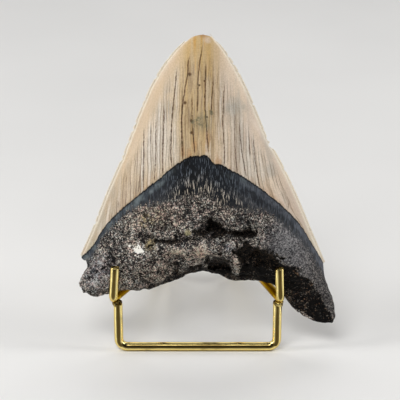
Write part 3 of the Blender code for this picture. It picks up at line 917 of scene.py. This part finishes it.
dark_places = [down_crack(route, half_width) for route, half_width in LONG_CRACKS]
for spot_u, spot_v, size in ROTTED_SPOTS:
    dark_places.append(round_spot(spot_u, spot_v, size * 0.4, size * 1.15, wander))
cracks = functools.reduce(Shade.most, dark_places) * front

# Hairlines: one between each two strips, broken along its way, and finer ones across the strips.
broken = sheet.stretched(1.2, 60, 9).grain(1.0, 3.0, 0.65).rise(0.36, 0.60)
hair = to_line.rise(0.05, 0.20, 1.0, 0.0) * (0.15 + broken * 0.85)
fine = abs(sheet.stretched(0.6, 60, 22).grain(1.0, 1.0) - 0.5).rise(0.0, 0.09, 1.0, 0.0)
hairlines = hair.most(fine * broken * (0.45 + ochre * 0.45)) * inner
hair_dark = 0.45 + front * (0.17 + u.rise(-14.0, -23.0) * 0.16)
enamel = (hairlines * hair_dark).colour(enamel, HAIRLINE)
enamel = (cracks * 0.90).colour(enamel, cloud.rise(0.40, 0.60).colour(*CRACK))
enamel = (round_spot(1.4, 62.6, 0.5, 5.5, soft * 0.7) * 0.38).colour(enamel, GREEN_HAZE)
for spot_u, spot_v, size in GREEN_SPOTS:
    green = round_spot(spot_u, spot_v, size * 0.2, size * 1.5, (cloud - 0.5) * 6.0)
    enamel = (green * 0.65).colour(enamel, GREEN_SPOT)
pitting = place.grain(0.5, 3.0, 0.75).rise(0.32, 0.66).colour(*PITTING)
enamel = enamel.tinted(pitting)

# The band under the enamel: wide under the chevron's point, narrow at its sides, thin behind. Pale
# fibres of the bone show through at its middle; its arms are smooth and blue-grey, with a painted sheen.
off_middle = abs(u - 1.0)
band_depth = off_middle.rise(4.0, 27.0, 1.0, 0.0) * 11.0 + 2.4
band_depth = front * (band_depth + u.rise(4.0, 20.0) * 3.4 - u.rise(32.0, 44.0) * 2.2) + 0.8
arms = off_middle.rise(7.0, 17.0)
fibres = place.stretched(0.25, 1.2, 2.8).grain(1.0, 2.0, 0.6)
pale_fibres = fibres.rise(0.56, 0.63) * (1.0 - arms * 0.6)
band = place.grain(4.0, 2.0).rise(0.35, 0.7).colour(*BAND)
sheen = u.rise(8.0, 24.0).colour(place.grain(3.0, 2.0).rise(0.38, 0.66).colour(*SHEEN_LEFT),
                                 place.grain(2.4, 2.0).rise(0.3, 0.7).colour(*SHEEN_RIGHT))
sheen = (above + (cloud - 0.5) * 3.0).rise(-2.2, -4.0).colour(sheen, SHEEN_LOW)
sheen_streaks = place.stretched(0.4, 1.0, 1.4).grain(1.0, 3.0, 0.7).rise(0.52, 0.36)
sheen = (sheen_streaks * 0.5).colour(sheen, SHEEN_STREAK)
band = (arms * 0.90).colour(band, sheen)
band = (pale_fibres * above.rise(-0.2, -9.0, 0.60, 0.95)).colour(band, above.rise(-5.0, -13.0).colour(*FIBRE))
band = (fibres.rise(0.46, 0.32) * 0.6).colour(band, FIBRE_GAP)

# The root's bone: dark, with pale, pink, tan and bluish grains.
fine_cell, _, _ = place.cells(FINE_GRAIN)
coarse_cell, hue, _ = place.cells(COARSE_GRAIN)
grit = place.grain(0.45, 2.0, 0.7)
speckle = fine_cell * fine_cell * 0.72 + coarse_cell * coarse_cell * 0.25 + grit.rise(0.3, 0.7) * 0.2
patches = place.grain(6.0, 2.0)
# Raised places of the bone are painted lighter and its pores darker, as painted shade of its relief.
bone = (speckle * 1.05 + cloud * 0.95 + patches * 0.50 + relief * 0.36 + pale - 0.795).ramp(*BONE)
bone = bone.tinted(hue.ramp(*GRAIN_TINTS), 0.6)
warmth = warm.most(0.0) * 0.65 + place.grain(8.0, 2.0).rise(0.52, 0.72) * 0.25
bone = bone.tinted(hue.rise(0.2, 0.8).colour(*WARM_TINT), warmth)
bone = bone.tinted(COOL_TINT, (warm * -1.0).most(0.0) * 0.9)

# The front of the right lobe is denser and smoother, and darker at its end.
denser = (u - (v - 8.0) * 0.5).rise(15.0, 25.0) * (1.0 - under) * front
fine_tone = fine_cell * 0.55 + grit.rise(0.3, 0.7) * 0.45 + (cloud - 0.5) * 0.9
dense = (fine_tone + (patches - 0.5) * 0.8).rise(0.1, 0.95).colour(*DENSE_BONE)
dense = u.rise(34.0, 44.0).colour(dense, fine_tone.rise(0.2, 1.0).colour(*DENSE_END))
bone = (denser * 0.8).colour(bone, dense)

# Tan mineral grains beside the holes.
tan_spot = round_spot(-4.0, 22.3, 0.5, 1.7, soft * 0.5)
bone = (tan_spot * (speckle * 0.8 + 0.2)).colour(bone, TAN_SPOT)
vein = round_spot(-18.8, 26.5, 1.0, 3.4, soft).most(round_spot(-17.5, 17.6, 0.8, 3.0, soft))
bone = (vein * cloud.rise(0.42, 0.58) * (speckle * 0.9 + 0.1)).colour(bone, TAN_VEIN)

# The band has a ragged lower edge. Painted shade darkens the root where it turns under, its holes are
# painted nearly black as shade, and one chip is white.
ragged = place.stretched(0.7, 0.8, 2.6).grain(1.0, 3.0, 0.6)
band_mask = (above + band_depth + (ragged - 0.5) * 9.0).rise(-1.2, 1.2)
lower = band_mask.colour(bone, band)
# Painted shade where the root turns under, with faint grains left in it.
underside_shade = (speckle * 0.9 + cloud + (patches - 0.5) * 1.2 - 0.39).rise(0.72, 1.16)
underside_shade = underside_shade.colour(PAINTED_UNDERSIDE_SHADE, hue.rise(0.3, 0.7).colour(*GRAINS_IN_PAINTED_SHADE))
shaded_underneath = (under + (cloud - 0.5) * 1.2 * under.rise(0.0, 0.3)).rise(0.25, 0.75)
lower = (shaded_underneath * (0.97 - u.rise(4.0, -16.0) * 0.25)).colour(lower, underside_shade)
hole_wobble = 1.0 + (cloud - 0.5) * 2.2 + (grit - 0.5) * 2.0
# Painted shade: the holes are darkened nearly to black, with faint grains.
deep = (hollow * hole_wobble - speckle * 0.26).rise(0.22, 0.50)
lower = (deep * 0.96).colour(lower, (speckle + cloud * 0.5).rise(0.66, 1.10).colour(*PAINTED_HOLLOW_SHADE))
chipped = round_spot(-21.5, 15.7, 1.45, 1.8, (place.grain(1.0, 3.0, 0.7) - 0.5) * 9.0)
chipped = chipped.most(round_spot(-25.0, 17.2, 0.2, 0.7, wander))
lower = chipped.colour(lower, WHITE_CHIP)

end = above + (ragged - 0.5) * 1.6
is_enamel = end.rise(-0.14, 0.14)
lower = (abs(end + 0.25).rise(0.15, 0.6, 1.0, 0.0) * 0.85).colour(lower, ENAMEL_END_LINE)
is_enamel.colour(lower, enamel).feed(shader, "Base Color")

stone_gloss = band_mask.between(0.72 + shaded_underneath * 0.2, 0.52 - arms * 0.14)
is_enamel.between(stone_gloss, (along * 0.2 + 0.34).most(cracks * 0.8)).feed(shader, "Roughness")
(is_enamel * ENAMEL_COAT + band_mask * arms * BAND_COAT).feed(shader, "Coat Weight")
shader.inputs["Coat Roughness"].default_value = COAT_ROUGHNESS
shader.inputs["Specular IOR Level"].default_value = STONE_SPECULAR

bone_relief = (speckle * 0.6 + cloud * 1.6) * (1.0 - band_mask * 0.9) * (1.0 - denser * 0.5)
band_relief = fibres * band_mask * 0.8
enamel_relief = strip * inner * 0.15 - cracks * 0.5 - hairlines * 0.3 + 1.3
height = is_enamel.between(bone_relief + band_relief, enamel_relief)
height.bump(0.8, SURFACE_DEPTH * MM).feed(shader, "Normal")

tooth.data.materials.append(fossil)
for row in rows:
    row.data.materials.append(fossil)
    row.select_set(True)
tooth.select_set(True)
bpy.context.view_layer.objects.active = tooth
bpy.ops.object.join()
tooth.select_set(False)
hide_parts("tooth")
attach(tooth, "root")

# ---------------------------------------------------------------- the table and the studio
# A pale table top, two soft lamps at the sides, one over the front and three behind for the edges.

TABLE_SIDE = 6.0  # metres, as all sizes of the studio
TABLE_PALE = ((226, 225, 223), (232, 231, 229))
TABLE_CLOUDS = 0.25
bpy.ops.mesh.primitive_plane_add(size=TABLE_SIDE, location=(0, 0, 0))
table = bpy.context.object
table.name = "table"
table_finish, shader, start = new_finish("pale_table")
table_cloud = start.node("TexCoord", out="Object").grain(TABLE_CLOUDS, 3.0)
table_cloud.rise(0.3, 0.7).colour(*TABLE_PALE).feed(shader, "Base Color")
shader.inputs["Roughness"].default_value = 0.35
shader.inputs["Specular IOR Level"].default_value = 0.3
table.data.materials.append(table_finish)

AIM = Vector((0.0, 0.0, 0.055))
# Each lamp: name, place, width, height, watts.
LAMPS = (
    ("left_lamp", (-0.75, -0.15, 0.40), 0.15, 0.7, 3.3),
    ("right_lamp", (0.75, -0.10, 0.40), 0.15, 0.7, 2.7),
    ("front_lamp", (-0.25, -0.65, 1.0), 0.6, 0.5, 7.0),
    ("back_lamp", (0.1, 0.75, 0.9), 1.2, 0.6, 4.0),
    ("left_back_lamp", (-0.55, 0.60, 0.35), 0.3, 0.5, 1.2),
    ("right_back_lamp", (0.55, 0.60, 0.35), 0.3, 0.5, 1.2),
)
for name, place, width, height, watts in LAMPS:
    lamp = bpy.data.lights.new(name, "AREA")
    lamp.shape, lamp.size, lamp.size_y = "RECTANGLE", width, height
    lamp.energy = watts
    holder = bpy.data.objects.new(name, lamp)
    holder.location = place
    holder.rotation_euler = (AIM - Vector(place)).to_track_quat("-Z", "Y").to_euler()
    bpy.context.scene.collection.objects.link(holder)

ROOM_LIGHT = (214, 214, 216)
ROOM_STRENGTH = 0.12
world = bpy.data.worlds.new("studio")
bpy.context.scene.world = world
world.use_nodes = True
world.node_tree.nodes["Background"].inputs["Color"].default_value = paint(*ROOM_LIGHT)
world.node_tree.nodes["Background"].inputs["Strength"].default_value = ROOM_STRENGTH
bpy.context.scene.view_settings.view_transform = "Standard"

# The camera stands half a metre in front and looks 23 degrees down.
CAMERA_PLACE = Vector((-2.88, -523.82, 270.51))  # millimetres
CAMERA_DOWN = math.radians(23)
PICTURE_SIDE = 400
FOCAL_PIXELS = 1505
camera = bpy.data.cameras.new("camera")
camera.lens = camera.sensor_width * FOCAL_PIXELS / PICTURE_SIDE
camera.clip_start, camera.clip_end = 0.05, 20.0
viewer = bpy.data.objects.new("camera", camera)
viewer.location = CAMERA_PLACE * MM
viewer.rotation_euler = (math.radians(90) - CAMERA_DOWN, 0, 0)
bpy.context.scene.collection.objects.link(viewer)
bpy.context.scene.camera = viewer
